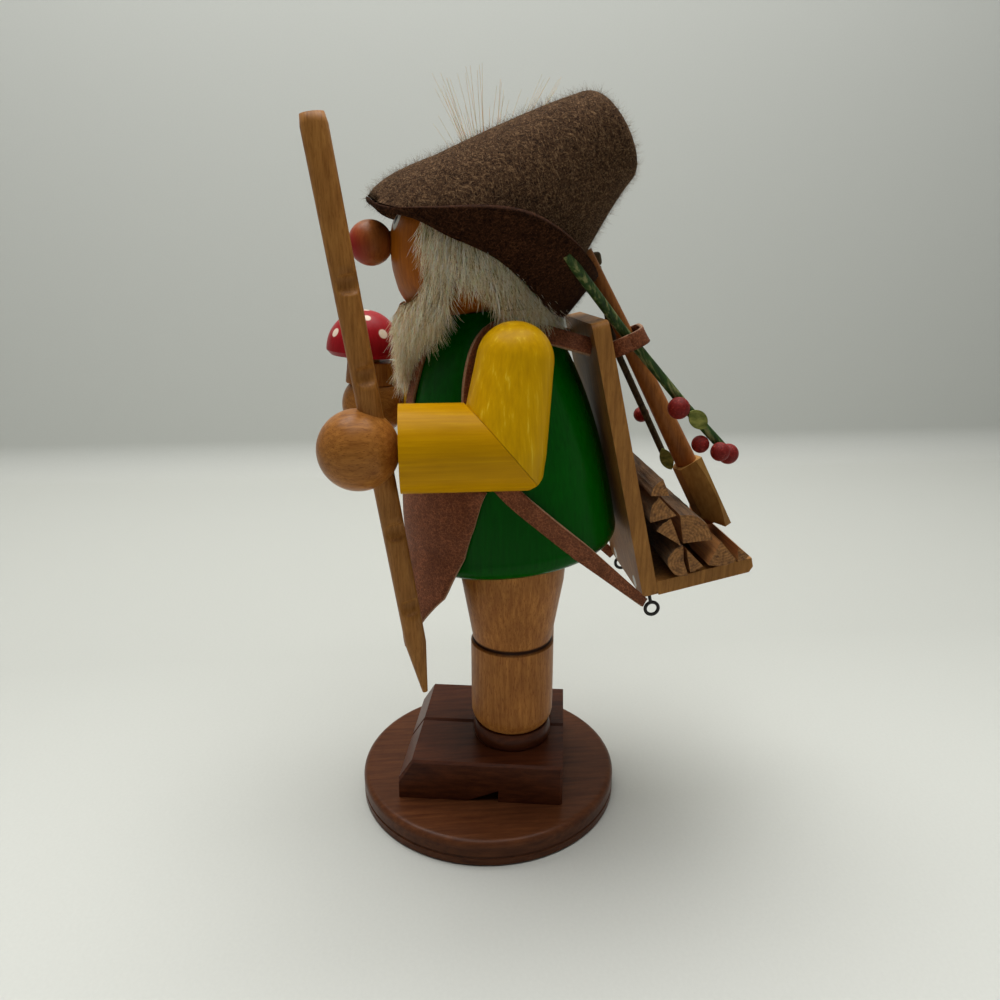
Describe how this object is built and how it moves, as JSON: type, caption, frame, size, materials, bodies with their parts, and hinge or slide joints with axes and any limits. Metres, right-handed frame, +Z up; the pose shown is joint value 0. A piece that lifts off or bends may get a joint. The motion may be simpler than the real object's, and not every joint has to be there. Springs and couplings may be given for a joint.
{
  "type": "german incense smoker",
  "caption": "Turned wooden incense smoker figure of a woodsman with felt hat, fur beard, staff, toadstool and a pack frame of firewood; the upper body lifts off the stand.",
  "frame": {"origin": "centre of the underside of the round base", "axes": "+Z up, the figure faces -Y, its left hand is on +X; the shoes are turned 10 degrees about +Z"},
  "size_m": [0.0971, 0.1346, 0.2321],
  "materials": {
    "stained_wood": "satin dark stain",
    "beech": "clear satin varnish",
    "nose_wood": "clear varnish with a red blush",
    "green_paint": "gloss green paint on turned wood",
    "yellow_paint": "gloss yellow paint on turned wood",
    "face_paint": "clear satin varnish, painted eyes",
    "tin": "dull tin plate",
    "felt": "grey-brown pressed felt",
    "fur": "cream fur",
    "stem_paint": "pale satin wood",
    "red_paint": "gloss red paint with white dots",
    "leather": "thin crackled leather",
    "black_wire": "black wire",
    "pack_wood": "clear varnish",
    "firewood": "raw split wood with bark",
    "axe_wood": "clear satin varnish",
    "twig_green": "painted green stem",
    "twig_brown": "dry brown twig",
    "berry_red": "frosted red"
  },
  "bodies": {
    "stand": {"base_disc": "stained_wood", "base_pegs": "beech", "shoe_block": "stained_wood", "ankle_collar_left": "stained_wood", "ankle_collar_right": "stained_wood", "leg_left": "beech", "leg_right": "beech", "foot_pegs": "beech", "hip_pegs": "beech", "smoke_floor": "beech", "burner_plate": "tin", "plate_nail": "tin"},
    "upper_figure": {"coat": "green_paint", "head": "face_paint", "nose": "nose_wood", "upper_arm_left": "yellow_paint", "upper_arm_right": "yellow_paint", "forearm_left": "yellow_paint", "forearm_right": "yellow_paint", "hand_left": "beech", "hand_right": "beech", "shoulder_pegs": "beech", "hat": "felt", "hat_tuft": "fur", "beard": "fur", "back_hair": "fur", "stump": "beech", "mushroom_stem": "stem_paint", "mushroom_cap": "red_paint", "apron": "leather", "strap_left": "leather", "strap_right": "leather", "strap_hook_left": "black_wire", "strap_hook_right": "black_wire", "back_board": "pack_wood", "shelf": "pack_wood", "shelf_nails": "tin", "log_1": "firewood", "log_2": "firewood", "log_3": "firewood", "log_4": "firewood", "log_5": "firewood", "log_6": "firewood", "log_7": "firewood", "log_8": "firewood", "axe_handle": "axe_wood", "axe_head": "axe_wood", "leather_loop": "leather", "twig_near": "twig_green", "twig_far": "twig_brown", "twig_leaves": "twig_green", "berries": "berry_red", "alder_cone": "twig_brown"},
    "staff": {"staff": "beech"}
  },
  "joints": [
    {"name": "body_lift", "type": "slide", "parent": "stand", "child": "upper_figure", "axis": [0, -0.1184, 0.993], "range_m": [0, 0.07]},
    {"name": "staff_lift", "type": "slide", "parent": "upper_figure", "child": "staff", "axis": [0, -0.1426, 0.9898], "range_m": [0, 0.07]}
  ]
}
